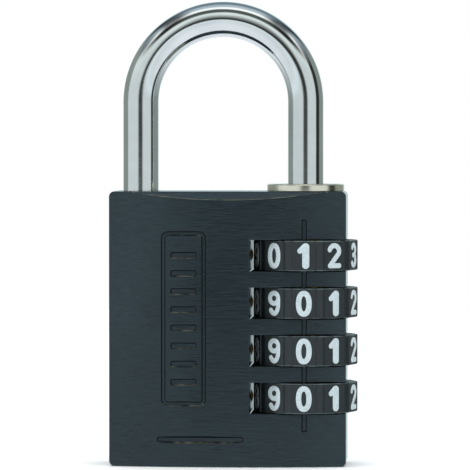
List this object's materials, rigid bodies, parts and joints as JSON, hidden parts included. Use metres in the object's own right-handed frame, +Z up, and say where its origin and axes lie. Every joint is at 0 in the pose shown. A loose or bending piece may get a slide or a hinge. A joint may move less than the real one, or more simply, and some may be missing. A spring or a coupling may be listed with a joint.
{
  "type": "combination padlock",
  "caption": "Combination padlock with a slab body, resettable number dials along one side and a U-shaped shackle that lifts when the dials line up.",
  "frame": {"origin": "middle of the body's flat base, halfway between its straight sides and between its front and back faces", "axes": "-Y is the front, with the index line and the panel; +X is the right, where the dials stick out; +Z is up, along the shackle's legs"},
  "size_m": [0.0418, 0.0172, 0.0785],
  "materials": {
    "body_aluminium": "black anodised, brushed across",
    "shackle_chrome": "bright chrome plate on hardened steel",
    "bush_nickel": "nickel plate, warm",
    "dial_black": "satin black",
    "sleeve_brass": "machined",
    "pin_brass": "polished",
    "spring_steel": "drawn wire",
    "washer_steel": "stamped"
  },
  "bodies": {
    "lock_body": {"lock_body": "body_aluminium", "base_plug": "body_aluminium", "shackle_bush": "bush_nickel", "reset_spring": "spring_steel", "detent_spring_1": "spring_steel", "detent_spring_2": "spring_steel", "detent_spring_3": "spring_steel", "detent_spring_4": "spring_steel"},
    "shackle": {"shackle": "shackle_chrome"},
    "thrust_washer": {"thrust_washer": "washer_steel"},
    "dial_1": {"dial_1": "dial_black"},
    "dial_2": {"dial_2": "dial_black"},
    "dial_3": {"dial_3": "dial_black"},
    "dial_4": {"dial_4": "dial_black"},
    "code_sleeve_1": {"code_sleeve_1": "sleeve_brass"},
    "code_sleeve_2": {"code_sleeve_2": "sleeve_brass"},
    "code_sleeve_3": {"code_sleeve_3": "sleeve_brass"},
    "code_sleeve_4": {"code_sleeve_4": "sleeve_brass"},
    "detent_pin_1": {"detent_pin_1": "pin_brass"},
    "detent_pin_2": {"detent_pin_2": "pin_brass"},
    "detent_pin_3": {"detent_pin_3": "pin_brass"},
    "detent_pin_4": {"detent_pin_4": "pin_brass"}
  },
  "joints": [
    {"name": "shackle_lift", "type": "slide", "parent": "lock_body", "child": "shackle", "axis": [0, 0, 1], "range_m": [0, 0.008]},
    {"name": "washer_press", "type": "slide", "parent": "lock_body", "child": "thrust_washer", "axis": [0, 0, 1], "range_m": [-0.0011, 0], "stiffness_N_per_m": 300, "springref_m": 0.003, "deforming": ["reset_spring"]},
    {"name": "dial_1_turn", "type": "hinge", "parent": "lock_body", "child": "dial_1", "pos_m": [0.013, 0, 0.0356], "axis": [0, 0, 1], "continuous": true},
    {"name": "dial_2_turn", "type": "hinge", "parent": "lock_body", "child": "dial_2", "pos_m": [0.013, 0, 0.0276], "axis": [0, 0, 1], "continuous": true},
    {"name": "dial_3_turn", "type": "hinge", "parent": "lock_body", "child": "dial_3", "pos_m": [0.013, 0, 0.0196], "axis": [0, 0, 1], "continuous": true},
    {"name": "dial_4_turn", "type": "hinge", "parent": "lock_body", "child": "dial_4", "pos_m": [0.013, 0, 0.0116], "axis": [0, 0, 1], "continuous": true},
    {"name": "sleeve_1_press", "type": "slide", "parent": "dial_1", "child": "code_sleeve_1", "axis": [0, 0, 1], "range_m": [-0.0011, 0]},
    {"name": "sleeve_2_press", "type": "slide", "parent": "dial_2", "child": "code_sleeve_2", "axis": [0, 0, 1], "range_m": [-0.0011, 0]},
    {"name": "sleeve_3_press", "type": "slide", "parent": "dial_3", "child": "code_sleeve_3", "axis": [0, 0, 1], "range_m": [-0.0011, 0]},
    {"name": "sleeve_4_press", "type": "slide", "parent": "dial_4", "child": "code_sleeve_4", "axis": [0, 0, 1], "range_m": [-0.0011, 0]},
    {"name": "detent_1_click", "type": "slide", "parent": "lock_body", "child": "detent_pin_1", "axis": [1, 0, 0], "range_m": [0, 0.0002], "deforming": ["detent_spring_1"]},
    {"name": "detent_2_click", "type": "slide", "parent": "lock_body", "child": "detent_pin_2", "axis": [1, 0, 0], "range_m": [0, 0.0002], "deforming": ["detent_spring_2"]},
    {"name": "detent_3_click", "type": "slide", "parent": "lock_body", "child": "detent_pin_3", "axis": [1, 0, 0], "range_m": [0, 0.0002], "deforming": ["detent_spring_3"]},
    {"name": "detent_4_click", "type": "slide", "parent": "lock_body", "child": "detent_pin_4", "axis": [1, 0, 0], "range_m": [0, 0.0002], "deforming": ["detent_spring_4"]}
  ],
  "couplings": [
    {"joint": "sleeve_1_press", "follows": "washer_press", "ratio": 1},
    {"joint": "sleeve_2_press", "follows": "washer_press", "ratio": 1},
    {"joint": "sleeve_3_press", "follows": "washer_press", "ratio": 1},
    {"joint": "sleeve_4_press", "follows": "washer_press", "ratio": 1}
  ]
}
